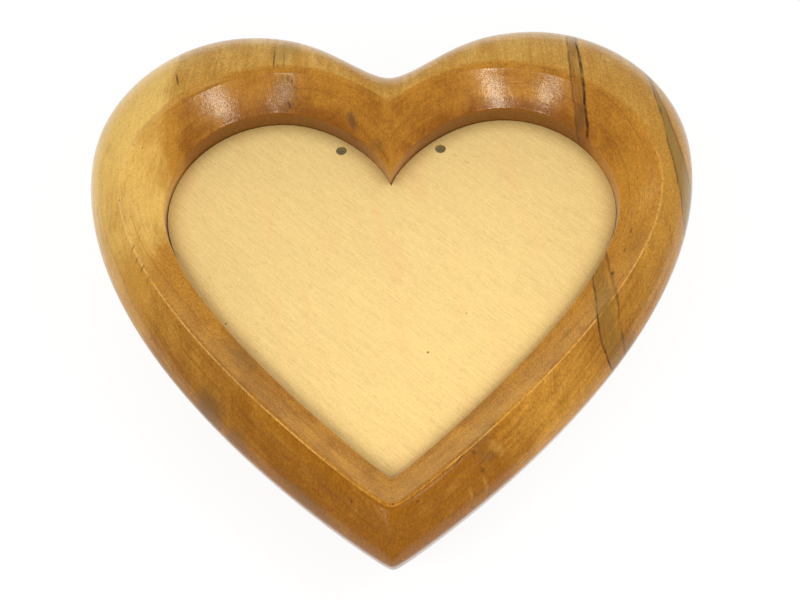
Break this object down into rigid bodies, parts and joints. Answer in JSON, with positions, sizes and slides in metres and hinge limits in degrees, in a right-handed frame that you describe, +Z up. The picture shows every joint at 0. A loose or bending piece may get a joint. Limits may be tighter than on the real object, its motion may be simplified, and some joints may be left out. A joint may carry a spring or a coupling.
{
  "type": "wind-up music box",
  "caption": "Heart-shaped carved wooden wind-up music box with a recessed plywood front and a key-wound comb movement inside.",
  "frame": {"origin": "centre of the resting plane under the felt pads", "axes": "+Z up through the front face, +Y towards the two lobes, -Y towards the tip, +X to the right"},
  "size_m": [0.24, 0.231, 0.064],
  "materials": {
    "honey_wood": "varnished",
    "birch_ply": "raw",
    "blued_steel": "dull",
    "plain_ply": "raw",
    "zinc_steel": "satin",
    "felt": "matte",
    "cast_plate": "satin",
    "brass": "satin",
    "spring_steel": "satin",
    "shaft_steel": "polished",
    "key_metal": "satin",
    "zinc_sheet": "satin",
    "comb_steel": "ground",
    "white_nylon": "matte",
    "fan_plastic": "satin",
    "jewel": "gloss"
  },
  "bodies": {
    "root": {"heart_case": "honey_wood", "soundboard": "birch_ply", "soundboard_screws": "blued_steel", "base_board": "plain_ply", "base_screws": "zinc_steel", "felt_pads": "felt", "bedplate": "cast_plate", "movement_screws": "zinc_steel", "clutch_spring": "spring_steel", "barrel_bridge": "zinc_sheet", "bridge_screws": "zinc_steel", "comb": "comb_steel", "comb_screws": "zinc_steel", "cylinder_bracket": "zinc_sheet", "bracket_screw": "zinc_steel", "governor_frame": "zinc_sheet", "governor_screws": "zinc_steel", "end_stone": "jewel"},
    "winding": {"winding_arbor": "shaft_steel", "winding_key": "key_metal"},
    "barrel": {"spring_barrel": "brass", "barrel_cap": "brass", "mainspring": "spring_steel"},
    "cylinder": {"pin_cylinder": "brass", "cylinder_shaft": "shaft_steel", "drive_pinion": "brass", "cylinder_wheel": "brass"},
    "governor_train": {"governor_arbor": "shaft_steel", "governor_pinion": "brass", "worm_wheel": "white_nylon"},
    "fly": {"worm_shaft": "shaft_steel", "fan": "fan_plastic"}
  },
  "joints": [
    {"name": "winding_turn", "type": "hinge", "parent": "root", "child": "winding", "pos_m": [-0.014, 0, 0], "axis": [0, 0, 1], "range_deg": [0, 1620]},
    {"name": "barrel_turn", "type": "hinge", "parent": "root", "child": "barrel", "pos_m": [-0.014, 0, 0.016], "axis": [0, 0, 1], "continuous": true},
    {"name": "cylinder_turn", "type": "hinge", "parent": "root", "child": "cylinder", "pos_m": [0.006, 0, 0.02442], "axis": [1, 0, 0], "continuous": true},
    {"name": "governor_turn", "type": "hinge", "parent": "root", "child": "governor_train", "pos_m": [0.0227, -0.00761, 0.02689], "axis": [1, 0, 0], "continuous": true},
    {"name": "fly_turn", "type": "hinge", "parent": "root", "child": "fly", "pos_m": [0.0227, -0.01328, 0.016], "axis": [0, 0, 1], "continuous": true}
  ],
  "couplings": [
    {"joint": "cylinder_turn", "follows": "barrel_turn", "ratio": 3},
    {"joint": "governor_turn", "follows": "barrel_turn", "ratio": -9},
    {"joint": "fly_turn", "follows": "barrel_turn", "ratio": -180}
  ]
}
